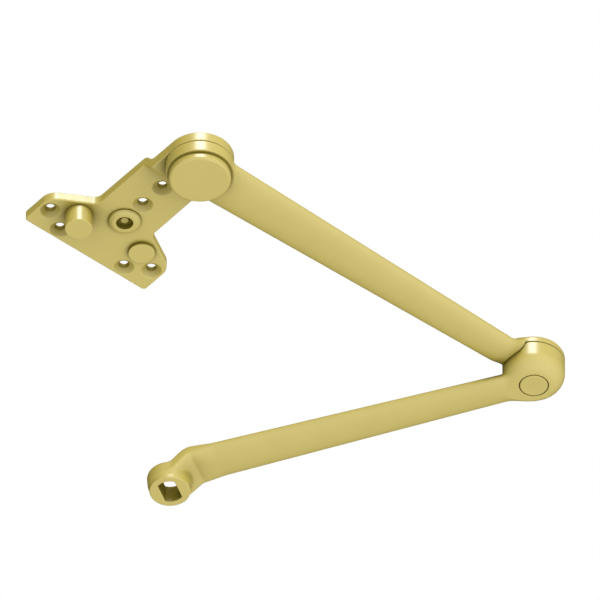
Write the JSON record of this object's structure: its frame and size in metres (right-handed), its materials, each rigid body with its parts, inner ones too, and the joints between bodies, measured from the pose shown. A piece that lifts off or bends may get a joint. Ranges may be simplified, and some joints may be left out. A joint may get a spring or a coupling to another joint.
{
  "type": "door closer arm",
  "caption": "Parallel door closer arm: soffit plate with a stop pin, oval forearm on a capped shoulder pivot, and main arm with a flatted spindle eye.",
  "frame": {"origin": "on the soffit plate's mounting face, midway between its two stop positions", "axes": "+Z is the mounting face's outward normal, up into the door frame's soffit; +X runs along the plate's long straight edge, which is the door frame's direction, towards the elbow; +Y points from the shoulder pivot towards that long edge"},
  "size_m": [0.3346, 0.2401, 0.0465],
  "materials": {
    "satin_brass_paint": "satin brass-coloured metallic paint over forged and plate steel",
    "zinc_steel": "bright zinc-plated steel",
    "spring_steel": "dark oiled spring steel",
    "sintered_bronze": "matte oil-filled sintered bronze",
    "acetal": "matte black moulded acetal"
  },
  "bodies": {
    "soffit": {"soffit_plate": "satin_brass_paint", "stop_pin": "satin_brass_paint", "stop_pin_screw": "zinc_steel", "hole_plug": "satin_brass_paint", "centre_bush": "satin_brass_paint", "centre_set_screw": "satin_brass_paint", "shoulder_stud": "zinc_steel", "disc_spring_upper": "spring_steel", "disc_spring_lower": "spring_steel", "retaining_ring": "spring_steel"},
    "forearm": {"forearm": "satin_brass_paint", "shoulder_thrust_washer": "acetal", "shoulder_bush": "sintered_bronze", "shoulder_lower_washer": "zinc_steel", "shoulder_cap": "satin_brass_paint", "elbow_rivet": "satin_brass_paint", "elbow_rivet_washer": "zinc_steel"},
    "main_arm": {"main_arm": "satin_brass_paint", "elbow_thrust_washer": "acetal", "elbow_bush": "sintered_bronze"}
  },
  "joints": [
    {"name": "shoulder_pivot", "type": "hinge", "parent": "soffit", "child": "forearm", "pos_m": [0, -0.086, -0.018], "axis": [0, 0, 1], "range_deg": [-30, 88]},
    {"name": "elbow_pivot", "type": "hinge", "parent": "forearm", "child": "main_arm", "pos_m": [0.2674, -0.086, -0.022], "axis": [0, 0, 1], "range_deg": [-110, 44]}
  ]
}
